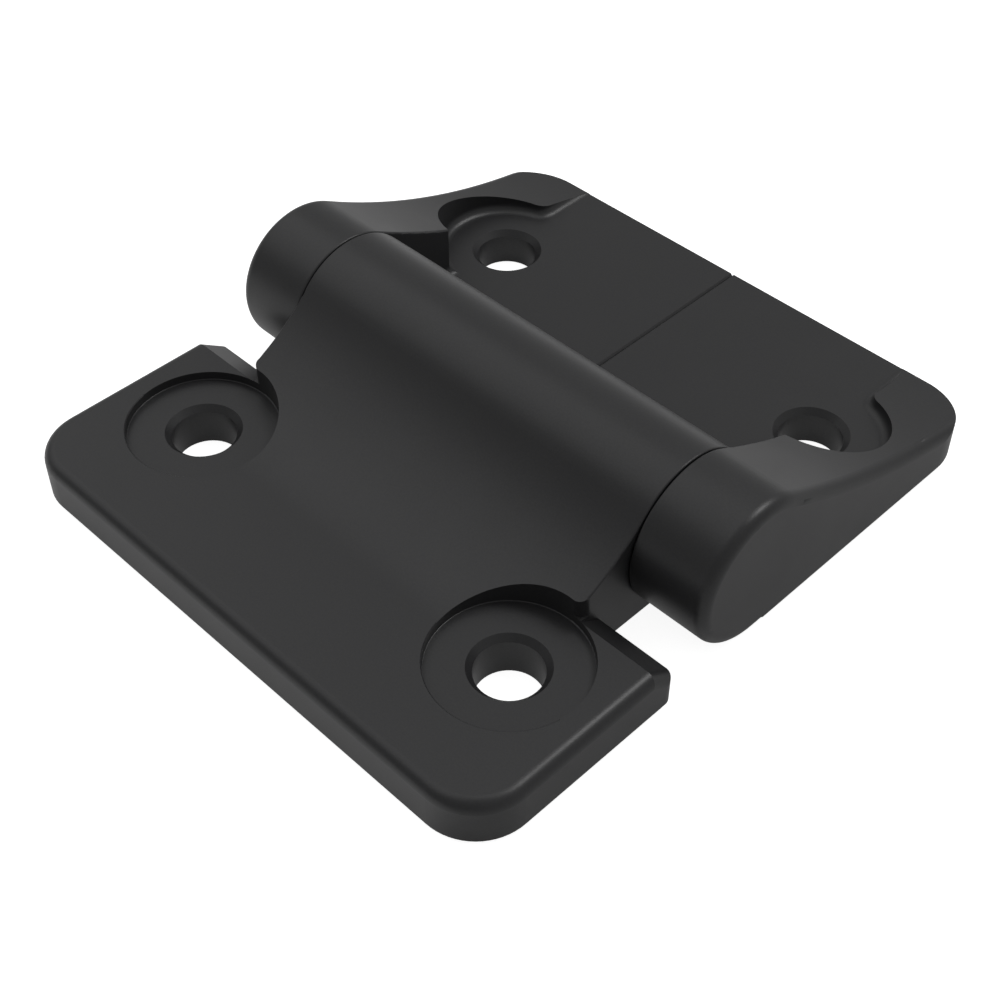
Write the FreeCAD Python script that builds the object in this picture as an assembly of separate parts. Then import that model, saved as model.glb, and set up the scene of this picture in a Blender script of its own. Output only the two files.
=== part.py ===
"""Torque hinge with two moulded plastic leaves that stays where it is turned to.

The hinge lies open and flat. X runs along the pin, the front leaf reaches to -Y and the rear leaf
to +Y, and both leaves stand on the plane z = 0. The origin is on that plane, under the middle of
the pin. All sizes are in millimetres.
"""
import FreeCAD, Part
import math
import os

# Sizes that both leaves share
HINGE_LENGTH = 62.0             # along the pin, over the two end knuckles
LEAF_REACH = 35.2               # from the pin's axis to the free edge of a leaf
KNUCKLE_RADIUS = 7.75           # barrel and knuckles, which touch the plane that the leaves stand on
KNUCKLE_LENGTH = 8.5            # of each end knuckle, along the pin
SEAM_GAP = 0.12                 # between the barrel and each end knuckle
FOOT_CHAMFER = 0.65             # along the outer edges that stand on the plane

# Screw holes, two in each leaf
HOLE_END_DISTANCE = 10.0        # from a screw's axis to the nearer end of the hinge
HOLE_EDGE_DISTANCE = 14.2       # from a screw's axis to the free edge of its leaf
SCREW_BORE_RADIUS = 3.2
SCREW_CHAMFER = 0.6             # width and depth of the chamfer round each bore
HEAD_RECESS_RADIUS = 7.5        # room round each screw's head

# Front leaf
PLATE_CORNER_RADIUS = 5.7       # free corners, seen from above
PLATE_OVERHANG = 0.3            # of the plate past each end knuckle
PLATE_THICKNESS = 5.4
COUNTERBORE_DEPTH = 0.95
COUNTERBORE_FOOT_FILLET = 0.1   # where its wall meets its floor
COUNTERBORE_RIM_CHAMFER = 0.1   # round its mouth, as far as the plate is flat
PLATE_EDGE_FILLET = 1.15        # along the top of the front and side edges and down the notches
SADDLE_RADIUS = 22.5            # hollow sweep from the plate up to the barrel
NOTCH_CLEARANCE = 3.35          # from a knuckle to the upright wall of its notch
NOTCH_SLOPE_HEIGHT = 1.8        # the slope above that wall: height up to the plate's top
NOTCH_SLOPE_RUN = 2.6           # and how far it leans back
NOTCH_CORNER_FILLET = 1.0       # in the corner between a notch and the barrel's end
HORN_ROUND = 1.0                # where a counterbore breaks out of the saddle's end
BARREL_EDGE_FILLET = 0.15       # round the ends of the barrel and the saddle

# Rear leaf, in two halves
REAR_CORNER_RADIUS = 6.2        # free corners, seen from above
REAR_FLOOR = 4.0                # thickness between the end ribs
REAR_FLOOR_START = 9.0          # from the pin's axis to the floor's hidden front edge
RIB_EDGE_HEIGHT = 4.05          # of an end rib at the free edge
RIB_SWEEP_RADIUS = 82.0         # hollow sweep from a knuckle down to the free edge
RIB_OUTER_FILLET = 1.1          # round the outer end of each knuckle and rib
RIB_INNER_FILLET = 0.2          # round their inner ends, from the knuckle to the recess
RIB_SIDE_FOOT_START = 1.5       # from the pin's axis to where the rib's side stands on the plane
RIB_FOOT_FILLET = 1.0           # where the ribs' inner walls meet the floor
RECESS_REAR_ROUND = 1.5         # rear corner of each recess, seen from above
PARTING_OFFSET = -0.6           # where the two halves meet, beside the middle
PARTING_GAP = 0.04
PARTING_CHAMFER = 0.2           # along the top edges of the parting line

# Pin, friction clips, bushes and washers
PIN_RADIUS = 3.0
PIN_FLAT_DEPTH = 0.65           # of the two flats on each end of the pin
PIN_END_CHAMFER = 0.4
KNUCKLE_END_WALL = 1.5          # closed end of a knuckle beyond the pin
RUNNING_CLEARANCE = 0.04        # between the pin and what it turns in
SEAT_CLEARANCE = 0.03           # between parts that are pressed or keyed together
CLIP_THICKNESS = 1.3
CLIP_LENGTH = 2.9               # along the pin
CLIP_SPACING = 0.1              # between one clip and the next
CLIP_MOUTH = 50.0               # degrees of the ring that are open, beside the tail
CLIP_TAIL_LENGTH = 2.2          # beyond the ring
CLIP_TAIL_WIDTH = 1.8
CLIP_TAIL_ANGLE = 200.0         # degrees from the rear leaf's side, over the top
BUSH_LENGTH = 3.6
WASHER_RADIUS = 5.4
WASHER_SEAT_DEPTH = 0.6         # of its seat in the knuckle's inner end
WASHER_GAP = 0.05               # between the washer and the barrel's end

AXIS_HEIGHT = KNUCKLE_RADIUS
HALF_LENGTH = HINGE_LENGTH / 2
HALF_PLATE = HALF_LENGTH + PLATE_OVERHANG
RIB_INNER = HALF_LENGTH - KNUCKLE_LENGTH
HALF_BARREL = RIB_INNER - SEAM_GAP
SCREW_X = HALF_LENGTH - HOLE_END_DISTANCE
SCREW_Y = LEAF_REACH - HOLE_EDGE_DISTANCE
COUNTERBORE_FLOOR = PLATE_THICKNESS - COUNTERBORE_DEPTH
NOTCH_WALL = KNUCKLE_RADIUS + NOTCH_CLEARANCE
NOTCH_WALL_HEIGHT = PLATE_THICKNESS - NOTCH_SLOPE_HEIGHT
PIN_BORE_RADIUS = PIN_RADIUS + RUNNING_CLEARANCE
CLIP_RADIUS = PIN_BORE_RADIUS + CLIP_THICKNESS
PIN_END = HALF_LENGTH - KNUCKLE_END_WALL
OUTSIDE = 1.0                   # how far a cutter reaches past what it cuts
TALL = AXIS_HEIGHT + KNUCKLE_RADIUS + OUTSIDE

X_AXIS = FreeCAD.Vector(1, 0, 0)
Z_AXIS = FreeCAD.Vector(0, 0, 1)


def vec(x, y, z):
    return FreeCAD.Vector(x, y, z)


def line(start, end):
    return Part.LineSegment(start, end).toShape()


def arc(start, middle, end):
    return Part.Arc(start, middle, end).toShape()


def arc_about(centre, start, end):
    """The shorter arc from start to end about a centre."""
    half = (start - centre) + (end - centre)
    half.normalize()
    return arc(start, centre + half * (start - centre).Length, end)


def polygon(points):
    return [line(a, b) for a, b in zip(points, points[1:] + points[:1])]


def prism(edges, start, length, direction):
    """A solid from a closed flat outline, moved to its start and pushed along a direction."""
    face = Part.Face(Part.Wire(Part.sortEdges(edges)[0]))
    return face.extrude(direction * length).translated(direction * start)


def mirrored(shape):
    """The same shape on the other side of the middle plane, x = 0."""
    return shape.mirror(vec(0, 0, 0), X_AXIS)


def both_ends(shape):
    return [shape, mirrored(shape)]


def cut_all(shape, cutters):
    for cutter in cutters:
        shape = shape.cut(cutter)
    return shape


def edges_inside(shape, low, high):
    """The edges of a shape that lie wholly inside a box."""
    margin = 0.01
    found = []
    for edge in shape.Edges:
        box = edge.BoundBox
        lows = (box.XMin, box.YMin, box.ZMin)
        highs = (box.XMax, box.YMax, box.ZMax)
        above = all(value > limit - margin for value, limit in zip(lows, low))
        below = all(value < limit + margin for value, limit in zip(highs, high))
        if above and below:
            found.append(edge)
    return found


def on_knuckle(angle):
    """A point of the knuckle's round, at an angle in degrees from +Y over the top."""
    turn = math.radians(angle)
    return vec(0, KNUCKLE_RADIUS * math.cos(turn), AXIS_HEIGHT + KNUCKLE_RADIUS * math.sin(turn))


def pin_cylinder(radius, start, end):
    """A round solid on the pin's axis, between two places along it."""
    return Part.makeCylinder(radius, end - start, vec(start, 0, AXIS_HEIGHT), X_AXIS)


def screw_bore(x, y, floor):
    """Cutter for a screw hole with a chamfered mouth in a floor of the given height."""
    bore = Part.makeCylinder(SCREW_BORE_RADIUS, floor + 2 * OUTSIDE, vec(x, y, -OUTSIDE), Z_AXIS)
    mouth = Part.makeCone(SCREW_BORE_RADIUS, SCREW_BORE_RADIUS + SCREW_CHAMFER + OUTSIDE,
                          SCREW_CHAMFER + OUTSIDE, vec(x, y, floor - SCREW_CHAMFER), Z_AXIS)
    return bore.fuse(mouth)


# Front leaf: plate, saddle and barrel in one moulding

def saddle_centre():
    """Where the saddle's hollow is drawn from, level with its foot on the plate."""
    rise = PLATE_THICKNESS + SADDLE_RADIUS - AXIS_HEIGHT
    between = SADDLE_RADIUS + KNUCKLE_RADIUS
    return vec(0, -math.sqrt(between ** 2 - rise ** 2), PLATE_THICKNESS + SADDLE_RADIUS)


def rounded_plate():
    """The flat plate, up to the upright walls of its two notches and the slopes above them."""
    front = -LEAF_REACH
    rear = -NOTCH_WALL
    outline = [vec(0, front, 0), vec(0, front, PLATE_THICKNESS),
               vec(0, rear - NOTCH_SLOPE_RUN, PLATE_THICKNESS), vec(0, rear, NOTCH_WALL_HEIGHT),
               vec(0, rear, 0)]
    plate = prism(polygon(outline), -HALF_PLATE, 2 * HALF_PLATE, X_AXIS)
    corners = []
    for x in (-HALF_PLATE, HALF_PLATE):
        corners += edges_inside(plate, (x, front, 0), (x, front, PLATE_THICKNESS))
    plate = plate.makeFillet(PLATE_CORNER_RADIUS, corners)
    top_low = (-HALF_PLATE, front, PLATE_THICKNESS)
    rims = edges_inside(plate, top_low, (HALF_PLATE, front, PLATE_THICKNESS))
    for x in (-HALF_PLATE, HALF_PLATE):
        slope_foot = (x, rear - NOTCH_SLOPE_RUN, NOTCH_WALL_HEIGHT)
        rims += edges_inside(plate, slope_foot, (x, rear, PLATE_THICKNESS))
        rims += edges_inside(plate, (x, rear, 0), (x, rear, NOTCH_WALL_HEIGHT))
    plate = plate.makeFillet(PLATE_EDGE_FILLET, rims)
    foot_front = edges_inside(plate, (-HALF_PLATE, front, 0), (HALF_PLATE, front, 0))
    return plate.makeChamfer(FOOT_CHAMFER, foot_front)


def barrel_and_saddle():
    """The barrel and the hollow sweep that joins it to the plate, with rounded ends."""
    centre = saddle_centre()
    axis = vec(0, 0, AXIS_HEIGHT)
    foot = vec(0, centre.y, PLATE_THICKNESS)
    crest = axis + (centre - axis) * (KNUCKLE_RADIUS / (SADDLE_RADIUS + KNUCKLE_RADIUS))
    underside = vec(0, centre.y, 0)
    bottom = vec(0, 0, 0)
    back = on_knuckle(0)
    edges = [line(underside, bottom), arc(bottom, on_knuckle(-45), back),
             arc(back, on_knuckle(60), crest), arc_about(centre, crest, foot), line(foot, underside)]
    shape = prism(edges, -HALF_BARREL, 2 * HALF_BARREL, X_AXIS)
    rims = []
    for x in (-HALF_BARREL, HALF_BARREL):
        rims += edges_inside(shape, (x, centre.y, PLATE_THICKNESS), (x, KNUCKLE_RADIUS, TALL))
        rims += edges_inside(shape, (x, 0, 0), (x, KNUCKLE_RADIUS, AXIS_HEIGHT))
    return shape.makeFillet(BARREL_EDGE_FILLET, rims)


def notch_cutter():
    """Room for the right knuckle, leaving a fillet in the corner along the barrel's end."""
    lean = NOTCH_SLOPE_RUN / NOTCH_SLOPE_HEIGHT
    top = PLATE_THICKNESS + OUTSIDE
    points = [vec(0, KNUCKLE_RADIUS, -OUTSIDE), vec(0, -NOTCH_WALL, -OUTSIDE),
              vec(0, -NOTCH_WALL, NOTCH_WALL_HEIGHT),
              vec(0, -NOTCH_WALL - lean * (top - NOTCH_WALL_HEIGHT), top), vec(0, KNUCKLE_RADIUS, top)]
    cutter = prism(polygon(points), HALF_BARREL, HALF_LENGTH - HALF_BARREL + OUTSIDE, X_AXIS)
    low = (HALF_BARREL, -LEAF_REACH, -OUTSIDE)
    inner = edges_inside(cutter, low, (HALF_BARREL, -NOTCH_WALL, top))
    return cutter.makeFillet(NOTCH_CORNER_FILLET, inner)


def horn_cutter():
    """Rounds the upright edge where the right counterbore breaks out of the saddle's end."""
    hole = vec(SCREW_X, -SCREW_Y, 0)
    across = HALF_BARREL - HORN_ROUND - SCREW_X
    reach = HEAD_RECESS_RADIUS + HORN_ROUND
    centre = hole + vec(across, math.sqrt(reach ** 2 - across ** 2), 0)
    on_end = vec(HALF_BARREL, centre.y, 0)
    on_recess = hole + (centre - hole) * (HEAD_RECESS_RADIUS / reach)
    low = on_recess.y - OUTSIDE
    past_end = HALF_BARREL + OUTSIDE
    corner = [arc_about(centre, on_end, on_recess), line(on_recess, vec(on_recess.x, low, 0)),
              line(vec(on_recess.x, low, 0), vec(past_end, low, 0)),
              line(vec(past_end, low, 0), vec(past_end, centre.y, 0)),
              line(vec(past_end, centre.y, 0), on_end)]
    return prism(corner, PLATE_THICKNESS, TALL, Z_AXIS)


def counterbore_cutter(x):
    """Room for a screw's head, with a small fillet round its floor and a chamfered mouth."""
    floor = vec(x, -SCREW_Y, COUNTERBORE_FLOOR)
    cutter = Part.makeCylinder(HEAD_RECESS_RADIUS, TALL, floor, Z_AXIS)
    reach = HEAD_RECESS_RADIUS
    low = (x - reach, -SCREW_Y - reach, COUNTERBORE_FLOOR)
    foot = edges_inside(cutter, low, (x + reach, -SCREW_Y + reach, COUNTERBORE_FLOOR))
    cutter = cutter.makeFillet(COUNTERBORE_FOOT_FILLET, foot)
    flare = COUNTERBORE_RIM_CHAMFER + OUTSIDE
    mouth = Part.makeCone(reach, reach + flare, flare,
                          vec(x, -SCREW_Y, PLATE_THICKNESS - COUNTERBORE_RIM_CHAMFER), Z_AXIS)
    flat = Part.makeBox(2 * LEAF_REACH, LEAF_REACH, TALL,
                        vec(x - LEAF_REACH, saddle_centre().y - LEAF_REACH, 0))
    return cutter.fuse(mouth.common(flat))


def along_tails(radius, width, start, end):
    """A straight block from the pin's axis outwards, in the direction of the clips' tails."""
    block = Part.makeBox(end - start, radius, width, vec(start, 0, -width / 2))
    block.rotate(vec(0, 0, 0), X_AXIS, CLIP_TAIL_ANGLE)
    return block.translated(vec(0, 0, AXIS_HEIGHT))


def barrel_bore():
    """Cutter for the bore through the barrel and the slot that holds the clips' tails."""
    bore = pin_cylinder(CLIP_RADIUS + SEAT_CLEARANCE, -HALF_BARREL - OUTSIDE, HALF_BARREL + OUTSIDE)
    slot_end = HALF_BARREL - BUSH_LENGTH
    slot = along_tails(CLIP_RADIUS + CLIP_TAIL_LENGTH + SEAT_CLEARANCE,
                       CLIP_TAIL_WIDTH + 2 * SEAT_CLEARANCE, -slot_end, slot_end)
    return bore.fuse(slot)


def front_leaf():
    leaf = rounded_plate().fuse(barrel_and_saddle())
    leaf = cut_all(leaf, both_ends(notch_cutter()) + both_ends(horn_cutter()) + [barrel_bore()])
    for x in (-SCREW_X, SCREW_X):
        leaf = leaf.cut(counterbore_cutter(x))
        leaf = leaf.cut(screw_bore(x, -SCREW_Y, COUNTERBORE_FLOOR))
    return leaf.removeSplitter()


# Rear leaf: two halves, each with an end rib, a closed knuckle and part of the floor

def rib_outline():
    """Side view of a knuckle with the rib that sweeps down from it to the free edge."""
    axis = vec(0, 0, AXIS_HEIGHT)
    edge_top = vec(0, LEAF_REACH, RIB_EDGE_HEIGHT)
    gap = edge_top - axis
    between = RIB_SWEEP_RADIUS + KNUCKLE_RADIUS
    along = (between ** 2 - RIB_SWEEP_RADIUS ** 2 + gap.Length ** 2) / (2 * gap.Length)
    ahead = gap / gap.Length
    above = vec(0, -ahead.z, ahead.y)
    centre = axis + ahead * along + above * math.sqrt(between ** 2 - along ** 2)
    crest = axis + (centre - axis) * (KNUCKLE_RADIUS / between)
    bottom = vec(0, 0, 0)
    front = on_knuckle(180)
    foot = vec(0, LEAF_REACH, 0)
    return [line(foot, bottom), arc(bottom, on_knuckle(225), front), arc(front, on_knuckle(100), crest),
            arc_about(centre, crest, edge_top), line(edge_top, foot)]


def end_rims(rib, x):
    """The edges round one end of the knuckle and along the top of its rib."""
    upper = edges_inside(rib, (x, -KNUCKLE_RADIUS, RIB_EDGE_HEIGHT), (x, LEAF_REACH, TALL))
    lower = edges_inside(rib, (x, -KNUCKLE_RADIUS, 0), (x, 0, AXIS_HEIGHT))
    return upper + lower


def rib_and_knuckle():
    """The right rib with its knuckle, rounded round both ends, but sharp inside behind its screw."""
    sharp = prism(rib_outline(), RIB_INNER, KNUCKLE_LENGTH, X_AXIS)
    rib = sharp.makeFillet(RIB_OUTER_FILLET, end_rims(sharp, HALF_LENGTH))
    rounded = rib.makeFillet(RIB_INNER_FILLET, end_rims(rib, RIB_INNER))
    behind = Part.makeBox(KNUCKLE_LENGTH, LEAF_REACH, TALL, vec(RIB_INNER, SCREW_Y, 0))
    foot = Part.makeBox(KNUCKLE_LENGTH, LEAF_REACH, 2 * RIB_OUTER_FILLET,
                        vec(RIB_INNER, RIB_SIDE_FOOT_START, 0))
    return rounded.fuse(rib.common(behind)).fuse(sharp.common(foot))


def floor_blank(start):
    """The floor from the parting line to the right rib, with material for the fillet at its foot."""
    length = RIB_INNER - start
    blank = prism(rib_outline(), start, length, X_AXIS)
    height = REAR_FLOOR + RIB_FOOT_FILLET
    return blank.common(Part.makeBox(length, LEAF_REACH, height, vec(start, REAR_FLOOR_START, 0)))


def recess_cutter():
    """What is cut down to the floor, up to the right rib's inner wall and round its screw."""
    hole = vec(SCREW_X, SCREW_Y, 0)
    half_chord = math.sqrt(HEAD_RECESS_RADIUS ** 2 - (RIB_INNER - SCREW_X) ** 2)
    front_wall = vec(RIB_INNER, SCREW_Y - half_chord, 0)
    across = RIB_INNER + RECESS_REAR_ROUND - SCREW_X
    reach = HEAD_RECESS_RADIUS + RECESS_REAR_ROUND
    centre = hole + vec(across, math.sqrt(reach ** 2 - across ** 2), 0)
    rear_wall = vec(RIB_INNER, centre.y, 0)
    rear_recess = hole + (centre - hole) * (HEAD_RECESS_RADIUS / reach)
    outermost = hole + vec(HEAD_RECESS_RADIUS, 0, 0)
    far = LEAF_REACH + 2 * RIB_FOOT_FILLET
    near_wall = vec(RIB_INNER, 0, 0)
    far_wall = vec(RIB_INNER, far, 0)
    outline = [line(near_wall, front_wall), arc(front_wall, outermost, rear_recess),
               arc_about(centre, rear_recess, rear_wall), line(rear_wall, far_wall),
               line(far_wall, vec(-HALF_LENGTH, far, 0)),
               line(vec(-HALF_LENGTH, far, 0), vec(-HALF_LENGTH, 0, 0)),
               line(vec(-HALF_LENGTH, 0, 0), near_wall)]
    cutter = prism(outline, REAR_FLOOR, TALL, Z_AXIS)
    wall_low = (SCREW_X, 0, REAR_FLOOR)
    foot = edges_inside(cutter, wall_low, (outermost.x, far, REAR_FLOOR))
    return cutter.makeFillet(RIB_FOOT_FILLET, foot)


def corner_envelope():
    """All that lies inside the right half's rounded free corner and its chamfered outer foot."""
    size = vec(2 * HINGE_LENGTH, 2 * LEAF_REACH, TALL)
    low = vec(HALF_LENGTH - size.x, LEAF_REACH - size.y, 0)
    block = Part.makeBox(size.x, size.y, size.z, low)
    corner = edges_inside(block, (HALF_LENGTH, LEAF_REACH, 0), (HALF_LENGTH, LEAF_REACH, TALL))
    block = block.makeFillet(REAR_CORNER_RADIUS, corner)
    foot = edges_inside(block, (HALF_LENGTH, low.y, 0), (HALF_LENGTH, LEAF_REACH, 0))
    block = block.makeChamfer(FOOT_CHAMFER, foot)
    return block.fuse(Part.makeBox(size.x, LEAF_REACH + RIB_SIDE_FOOT_START, size.z, low))


def parting_chamfer(start):
    """Cutter along the top edge of the floor at the parting line."""
    points = [vec(start, 0, REAR_FLOOR - PARTING_CHAMFER), vec(start, 0, REAR_FLOOR + OUTSIDE),
              vec(start + PARTING_CHAMFER, 0, REAR_FLOOR + OUTSIDE),
              vec(start + PARTING_CHAMFER, 0, REAR_FLOOR)]
    return prism(polygon(points), 0, LEAF_REACH + OUTSIDE, vec(0, 1, 0))


def pin_end(radius, start, end, clearance):
    """The pin's flatted end, or its socket when it is given a clearance."""
    flat = PIN_RADIUS - PIN_FLAT_DEPTH + clearance
    low = vec(start, -radius, AXIS_HEIGHT - flat)
    between_flats = Part.makeBox(end - start, 2 * radius, 2 * flat, low)
    return pin_cylinder(radius, start, end).common(between_flats)


def rear_half(parting):
    """The right half of the rear leaf, from its parting face outwards."""
    start = parting + PARTING_GAP / 2
    half = rib_and_knuckle().fuse(floor_blank(start)).common(corner_envelope())
    inside = RIB_INNER - OUTSIDE
    socket = pin_end(PIN_RADIUS + SEAT_CLEARANCE, inside, PIN_END + SEAT_CLEARANCE, SEAT_CLEARANCE)
    seat = pin_cylinder(WASHER_RADIUS + SEAT_CLEARANCE, inside, RIB_INNER + WASHER_SEAT_DEPTH)
    half = cut_all(half, [recess_cutter(), screw_bore(SCREW_X, SCREW_Y, REAR_FLOOR),
                          parting_chamfer(start), socket, seat])
    return half.removeSplitter()


# Pin and friction parts

def hinge_pin():
    """A round steel pin with two flats on each end, which keep it from turning in the knuckles."""
    flat_start = RIB_INNER + WASHER_SEAT_DEPTH
    shaft = pin_cylinder(PIN_RADIUS, -flat_start, flat_start)
    end = pin_end(PIN_RADIUS, flat_start, PIN_END, 0)
    length = PIN_END - flat_start
    cone = Part.makeCone(PIN_RADIUS + length - PIN_END_CHAMFER, PIN_RADIUS - PIN_END_CHAMFER, length,
                         vec(flat_start, 0, AXIS_HEIGHT), X_AXIS)
    end = end.common(cone)
    for piece in both_ends(end):
        shaft = shaft.fuse(piece)
    return shaft.removeSplitter()


def friction_clip(start):
    """A sprung ring that grips the pin, open beside a straight tail."""
    end = start + CLIP_LENGTH
    ring = pin_cylinder(CLIP_RADIUS, start, end)
    ring = ring.fuse(along_tails(CLIP_RADIUS + CLIP_TAIL_LENGTH, CLIP_TAIL_WIDTH, start, end))
    ring = ring.cut(pin_cylinder(PIN_BORE_RADIUS, start - OUTSIDE, end + OUTSIDE))
    return ring.cut(clip_mouth(start, end)).removeSplitter()


def clip_mouth(start, end):
    """Cutter for the opening between a clip's tail and the free end of its ring."""
    far = 2 * CLIP_RADIUS
    side = CLIP_TAIL_WIDTH / 2
    turn = math.radians(CLIP_MOUTH)
    points = [vec(0, 0, side), vec(0, far, side), vec(0, far, far),
              vec(0, far * math.cos(turn), side + far * math.sin(turn))]
    wedge = prism(polygon(points), start - OUTSIDE, end - start + 2 * OUTSIDE, X_AXIS)
    wedge.rotate(vec(0, 0, 0), X_AXIS, CLIP_TAIL_ANGLE)
    return wedge.translated(vec(0, 0, AXIS_HEIGHT))


def friction_clips():
    """As many clips as the barrel has room for between its bushes, side by side."""
    pitch = CLIP_LENGTH + CLIP_SPACING
    count = int(2 * (HALF_BARREL - BUSH_LENGTH) / pitch)
    first = (CLIP_SPACING - count * pitch) / 2
    return [friction_clip(first + number * pitch) for number in range(count)]


def pin_bush():
    """The right bearing bush, pressed into the end of the barrel's bore."""
    bush = pin_cylinder(CLIP_RADIUS, HALF_BARREL - BUSH_LENGTH, HALF_BARREL)
    return bush.cut(pin_cylinder(PIN_BORE_RADIUS, 0, HALF_LENGTH))


def thrust_washer():
    """The right washer, in its seat in the knuckle and just proud of it in the seam."""
    washer = pin_cylinder(WASHER_RADIUS, HALF_BARREL + WASHER_GAP, RIB_INNER + WASHER_SEAT_DEPTH)
    return washer.cut(pin_cylinder(PIN_RADIUS + SEAT_CLEARANCE, 0, HALF_LENGTH))


def main():
    pieces = {"front_leaf": front_leaf(),
              "rear_leaf_left": mirrored(rear_half(-PARTING_OFFSET)),
              "rear_leaf_right": rear_half(PARTING_OFFSET),
              "hinge_pin": hinge_pin(),
              "pin_bush_left": mirrored(pin_bush()),
              "pin_bush_right": pin_bush(),
              "thrust_washer_left": mirrored(thrust_washer()),
              "thrust_washer_right": thrust_washer()}
    for number, clip in enumerate(friction_clips(), start=1):
        pieces[f"friction_clip_{number:02d}"] = clip
    os.makedirs("parts", exist_ok=True)
    for name, shape in pieces.items():
        print(name, shape.isValid(), len(shape.Solids), round(shape.Volume, 3))
        shape.exportStep(f"parts/{name}.step")


main()
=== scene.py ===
import bpy
import math
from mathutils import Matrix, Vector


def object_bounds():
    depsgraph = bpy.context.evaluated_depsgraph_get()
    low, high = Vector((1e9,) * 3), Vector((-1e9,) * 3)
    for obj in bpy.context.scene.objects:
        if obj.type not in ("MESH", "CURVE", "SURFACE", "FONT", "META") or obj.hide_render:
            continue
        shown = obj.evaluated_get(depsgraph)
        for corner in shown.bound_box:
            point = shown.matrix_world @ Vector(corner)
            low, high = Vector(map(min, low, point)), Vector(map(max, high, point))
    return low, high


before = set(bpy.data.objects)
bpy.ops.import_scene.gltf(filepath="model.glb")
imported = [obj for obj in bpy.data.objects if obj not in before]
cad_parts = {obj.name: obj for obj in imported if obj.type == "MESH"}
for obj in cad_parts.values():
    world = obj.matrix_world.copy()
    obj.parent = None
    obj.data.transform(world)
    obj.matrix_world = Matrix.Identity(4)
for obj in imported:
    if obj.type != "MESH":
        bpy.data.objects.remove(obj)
cad_box = [list(corner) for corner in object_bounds()]


# Front leaf: the plate, the sweep and the middle barrel in one moulding of black glass-filled
# nylon. It comes out of a spark-eroded steel mould, which leaves a fine even grain on every face
# and slightly smoother flow marks, and it is screwed down through its two counterbored holes.

def new_finish(name):
    """An empty node material, with its node tree and its shader."""
    finish = bpy.data.materials.new(name)
    finish.use_nodes = True
    tree = finish.node_tree
    tree.nodes.clear()
    output = tree.nodes.new("ShaderNodeOutputMaterial")
    shader = tree.nodes.new("ShaderNodeBsdfPrincipled")
    tree.links.new(shader.outputs["BSDF"], output.inputs["Surface"])
    return finish, tree, shader


def noise_at(tree, scale, detail, stretch=(1.0, 1.0, 1.0)):
    """A noise pattern fixed to the piece; the scale is in ripples per metre."""
    place = tree.nodes.new("ShaderNodeTexCoord")
    mapping = tree.nodes.new("ShaderNodeMapping")
    mapping.inputs["Scale"].default_value = stretch
    tree.links.new(place.outputs["Object"], mapping.inputs["Vector"])
    noise = tree.nodes.new("ShaderNodeTexNoise")
    noise.inputs["Scale"].default_value = scale
    noise.inputs["Detail"].default_value = detail
    tree.links.new(mapping.outputs["Vector"], noise.inputs["Vector"])
    return noise.outputs["Fac"]


NOISE_LOW = 0.3
NOISE_HIGH = 0.7


def spread(tree, pattern, low, high):
    """The values that the pattern mostly has, stretched over the range from low to high."""
    ramp = tree.nodes.new("ShaderNodeMapRange")
    ramp.inputs["From Min"].default_value = NOISE_LOW
    ramp.inputs["From Max"].default_value = NOISE_HIGH
    ramp.inputs["To Min"].default_value = low
    ramp.inputs["To Max"].default_value = high
    tree.links.new(pattern, ramp.inputs["Value"])
    return ramp.outputs["Result"]


def two_tones(tree, pattern, dark, light):
    """A colour that wanders between two tones with the pattern."""
    mix = tree.nodes.new("ShaderNodeMix")
    mix.data_type = "RGBA"
    mix.inputs["A"].default_value = (*dark, 1.0)
    mix.inputs["B"].default_value = (*light, 1.0)
    tree.links.new(spread(tree, pattern, 0.0, 1.0), mix.inputs["Factor"])
    return mix.outputs["Result"]


def relief(tree, pattern, height, strength):
    """A bump of the pattern, of a height in metres."""
    bump = tree.nodes.new("ShaderNodeBump")
    bump.inputs["Distance"].default_value = height
    bump.inputs["Strength"].default_value = strength
    tree.links.new(pattern, bump.inputs["Height"])
    return bump.outputs["Normal"]


def dress(nodes, finish):
    """Gives CAD nodes their finish."""
    for name in nodes:
        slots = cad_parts[name].data.materials
        slots.clear()
        slots.append(finish)


PLASTIC_DARK = (0.018, 0.018, 0.019)
PLASTIC_LIGHT = (0.023, 0.023, 0.024)
PLASTIC_SMOOTHEST = 0.37
PLASTIC_ROUGHEST = 0.4
SPARK_GRAIN_SCALE = 5200.0
SPARK_GRAIN_DETAIL = 3.0
SPARK_GRAIN_HEIGHT = 0.00001
SPARK_GRAIN_STRENGTH = 0.5
FLOW_MARK_SCALE = 160.0
FLOW_MARK_DETAIL = 2.0

moulded_black, tree, shader = new_finish("moulded_black_nylon")
grain = noise_at(tree, SPARK_GRAIN_SCALE, SPARK_GRAIN_DETAIL)
flow = noise_at(tree, FLOW_MARK_SCALE, FLOW_MARK_DETAIL)
tree.links.new(two_tones(tree, grain, PLASTIC_DARK, PLASTIC_LIGHT), shader.inputs["Base Color"])
tree.links.new(spread(tree, flow, PLASTIC_SMOOTHEST, PLASTIC_ROUGHEST), shader.inputs["Roughness"])
tree.links.new(relief(tree, grain, SPARK_GRAIN_HEIGHT, SPARK_GRAIN_STRENGTH),
               shader.inputs["Normal"])
dress(["front_leaf"], moulded_black)


# Rear leaf: two mouldings of the same nylon, a left and a right half, which are pushed on over
# the pin's ends from both sides. Their closed knuckles hide the pin, and a hairline is left where
# the halves meet.

dress(["rear_leaf_left", "rear_leaf_right"], moulded_black)


# Hinge pin: ground stainless steel with two flats milled on each end, held without turning in the
# knuckles of the rear leaf. Grinding leaves fine rings round it.

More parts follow.
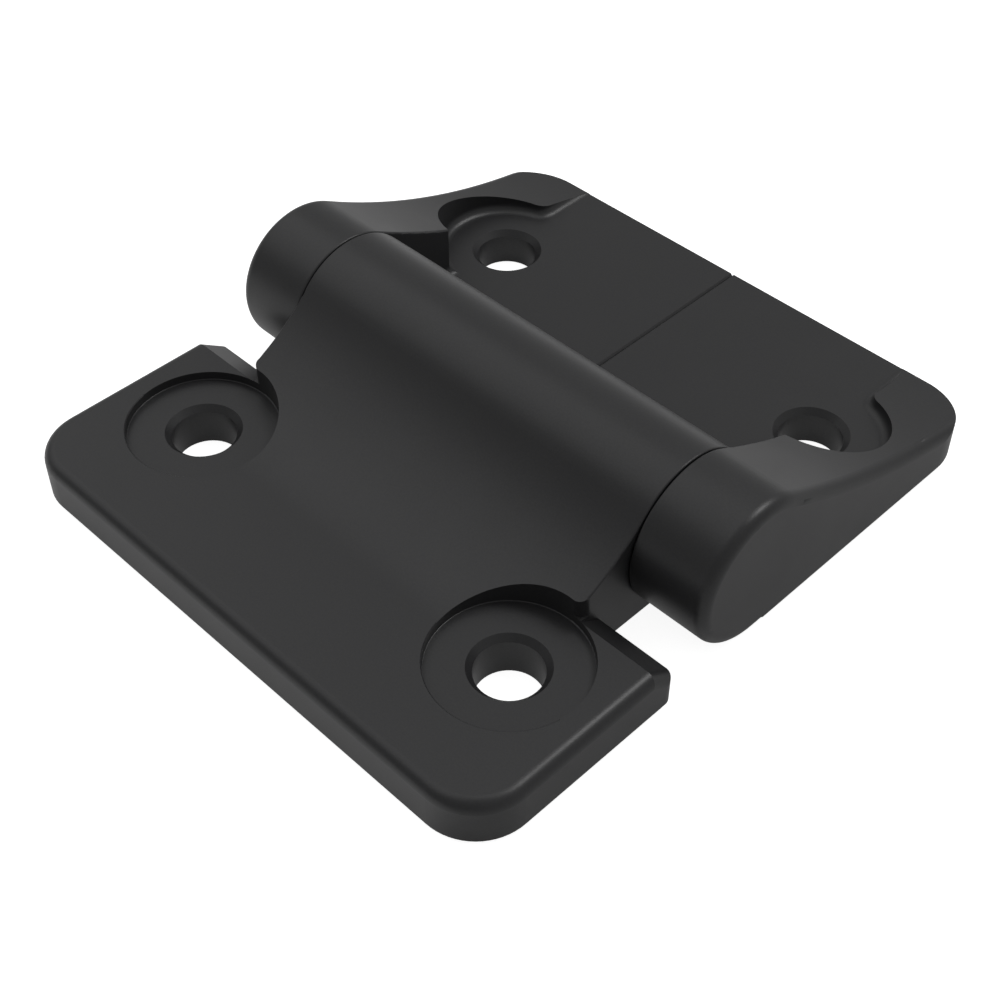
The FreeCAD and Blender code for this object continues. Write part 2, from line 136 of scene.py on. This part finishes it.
def worked_finish(name, scale, detail, dark, light, smoothest, roughest, height, strength,
                  stretch=(1.0, 1.0, 1.0)):
    """A finish whose tone, gloss and relief all follow one pattern of marks."""
    finish, tree, shader = new_finish(name)
    marks = noise_at(tree, scale, detail, stretch)
    tree.links.new(two_tones(tree, marks, dark, light), shader.inputs["Base Color"])
    tree.links.new(spread(tree, marks, smoothest, roughest), shader.inputs["Roughness"])
    tree.links.new(relief(tree, marks, height, strength), shader.inputs["Normal"])
    return finish, shader


ground_steel, shader = worked_finish(
    "ground_pin_steel", scale=900.0, detail=4.0, stretch=(12.0, 1.0, 1.0),
    dark=(0.46, 0.46, 0.47), light=(0.6, 0.6, 0.61), smoothest=0.22, roughest=0.34,
    height=0.000004, strength=0.4)
shader.inputs["Metallic"].default_value = 1.0
dress(["hinge_pin"], ground_steel)


# Friction clips: twelve sprung rings stamped from hardened steel strip and oiled, in a row on the
# pin. Their tails sit in a slot of the barrel, so the pin has to turn inside them.

spring_steel, shader = worked_finish(
    "oiled_spring_steel", scale=700.0, detail=5.0,
    dark=(0.2, 0.19, 0.18), light=(0.34, 0.33, 0.31), smoothest=0.28, roughest=0.45,
    height=0.000006, strength=0.3)
shader.inputs["Metallic"].default_value = 1.0
dress([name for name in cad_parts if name.startswith("friction_clip_")], spring_steel)


# Bushes and thrust washers: turned from natural acetal. The bushes are pressed into the ends of
# the barrel, and the washers keep the knuckles from rubbing on it.

turned_acetal, _ = worked_finish(
    "turned_acetal", scale=1500.0, detail=3.0,
    dark=(0.66, 0.64, 0.58), light=(0.76, 0.74, 0.69), smoothest=0.38, roughest=0.5,
    height=0.000006, strength=0.3)
dress(["pin_bush_left", "pin_bush_right", "thrust_washer_left", "thrust_washer_right"],
      turned_acetal)


# Studio: a wide white floor under the hinge, which looks white but keeps the hinge's soft shadow.
# Its glow brightens what the black plastic mirrors, and fades out at the hinge's right end. The
# plain grey sky is a little dimmer towards the front.

FLOOR_SIZE = 3.0
FLOOR_DROP = 0.00005
FLOOR_WHITE = (0.7, 0.7, 0.7)
FLOOR_LIFT = 0.9
FLOOR_GLOW = 0.28
GLOW_FADE_START = 0.8
GLOW_FADE_END = 1.05
WHITE_LIGHT = (1.0, 1.0, 1.0, 1.0)

bpy.ops.mesh.primitive_plane_add(size=FLOOR_SIZE, location=(0.0, 0.0, -FLOOR_DROP))
floor = bpy.context.object
floor.name = "studio_floor"
floor_paper, tree, shader = new_finish("white_floor_paper")
shader.inputs["Base Color"].default_value = (*FLOOR_WHITE, 1.0)
shader.inputs["Roughness"].default_value = 1.0
shader.inputs["Specular IOR Level"].default_value = 0.0
shader.inputs["Emission Color"].default_value = WHITE_LIGHT
rays = tree.nodes.new("ShaderNodeLightPath")
place = tree.nodes.new("ShaderNodeTexCoord")
along = tree.nodes.new("ShaderNodeSeparateXYZ")
fade = tree.nodes.new("ShaderNodeMapRange")
fade.inputs["From Min"].default_value = GLOW_FADE_START * cad_box[1][0]
fade.inputs["From Max"].default_value = GLOW_FADE_END * cad_box[1][0]
fade.inputs["To Min"].default_value = FLOOR_GLOW
fade.inputs["To Max"].default_value = 0.0
glow = tree.nodes.new("ShaderNodeMath")
glow.operation = "MULTIPLY"
lift = tree.nodes.new("ShaderNodeMath")
lift.operation = "MULTIPLY_ADD"
lift.inputs[1].default_value = FLOOR_LIFT
tree.links.new(place.outputs["Object"], along.inputs["Vector"])
tree.links.new(along.outputs["X"], fade.inputs["Value"])
tree.links.new(fade.outputs["Result"], glow.inputs[0])
tree.links.new(rays.outputs["Is Glossy Ray"], glow.inputs[1])
tree.links.new(rays.outputs["Is Camera Ray"], lift.inputs[0])
tree.links.new(glow.outputs["Value"], lift.inputs[2])
tree.links.new(lift.outputs["Value"], shader.inputs["Emission Strength"])
floor.data.materials.append(floor_paper)

SKY_FRONT = 0.25
SKY_REST = 0.38
FRONT_REACH = -0.85

sky = bpy.data.worlds.new("studio_sky")
bpy.context.scene.world = sky
sky.use_nodes = True
tree = sky.node_tree
tree.nodes.clear()
output = tree.nodes.new("ShaderNodeOutputWorld")
seen = tree.nodes.new("ShaderNodeBackground")
seen.inputs["Color"].default_value = WHITE_LIGHT
lighting = tree.nodes.new("ShaderNodeBackground")
lighting.inputs["Color"].default_value = WHITE_LIGHT
choice = tree.nodes.new("ShaderNodeMixShader")
rays = tree.nodes.new("ShaderNodeLightPath")
direction = tree.nodes.new("ShaderNodeTexCoord")
heading = tree.nodes.new("ShaderNodeSeparateXYZ")
dimming = tree.nodes.new("ShaderNodeMapRange")
dimming.inputs["From Min"].default_value = FRONT_REACH
dimming.inputs["From Max"].default_value = 0.0
dimming.inputs["To Min"].default_value = SKY_FRONT
dimming.inputs["To Max"].default_value = SKY_REST
tree.links.new(direction.outputs["Generated"], heading.inputs["Vector"])
tree.links.new(heading.outputs["Y"], dimming.inputs["Value"])
tree.links.new(dimming.outputs["Result"], lighting.inputs["Strength"])
tree.links.new(rays.outputs["Is Camera Ray"], choice.inputs["Fac"])
tree.links.new(lighting.outputs["Background"], choice.inputs[1])
tree.links.new(seen.outputs["Background"], choice.inputs[2])
tree.links.new(choice.outputs["Shader"], output.inputs["Surface"])


# Lamps: a small soft box behind the hinge, which draws the light lines along its rounded right
# edges, and a wide dim one to the left. Both are squares of white cloth, larger than the hinge.

LAMP_ELEVATION = 58.0
LAMP_DISTANCE = 0.6


def soft_box(name, azimuth, size, power):
    """A square area lamp that looks at the hinge from a direction given in degrees from +X."""
    turn = math.radians(azimuth)
    rise = math.radians(LAMP_ELEVATION)
    lamp = bpy.data.lights.new(name, "AREA")
    lamp.size = size
    lamp.energy = power
    holder = bpy.data.objects.new(name, lamp)
    bpy.context.scene.collection.objects.link(holder)
    holder.location = (LAMP_DISTANCE * math.cos(rise) * math.cos(turn),
                       LAMP_DISTANCE * math.cos(rise) * math.sin(turn),
                       LAMP_DISTANCE * math.sin(rise))
    holder.rotation_euler = (math.pi / 2 - rise, 0.0, turn + math.pi / 2)


soft_box("rear_soft_box", azimuth=72.0, size=0.22, power=1.0)
soft_box("left_soft_box", azimuth=190.0, size=0.6, power=0.6)


# Camera: looks down at half a right angle on the hinge's front right corner, from about 17 cm,
# with a lens and a place that were worked out from the photograph's outlines.

CAMERA_PLACE = (0.08408, -0.08526, 0.11528)
CAMERA_ELEVATION = 45.205
CAMERA_AZIMUTH = 44.974
CAMERA_LENS = 60.084
CAMERA_SENSOR = 36.0
CAMERA_NEAREST = 0.01
CAMERA_FARTHEST = 10.0

bpy.context.scene.view_settings.view_transform = "Standard"
camera = bpy.data.cameras.new("photo_camera")
camera.lens = CAMERA_LENS
camera.sensor_width = CAMERA_SENSOR
camera.clip_start = CAMERA_NEAREST
camera.clip_end = CAMERA_FARTHEST
camera_holder = bpy.data.objects.new("photo_camera", camera)
bpy.context.scene.collection.objects.link(camera_holder)
camera_holder.location = CAMERA_PLACE
camera_holder.rotation_euler = (math.radians(90.0 - CAMERA_ELEVATION), 0.0,
                                math.radians(CAMERA_AZIMUTH))
bpy.context.scene.camera = camera_holder
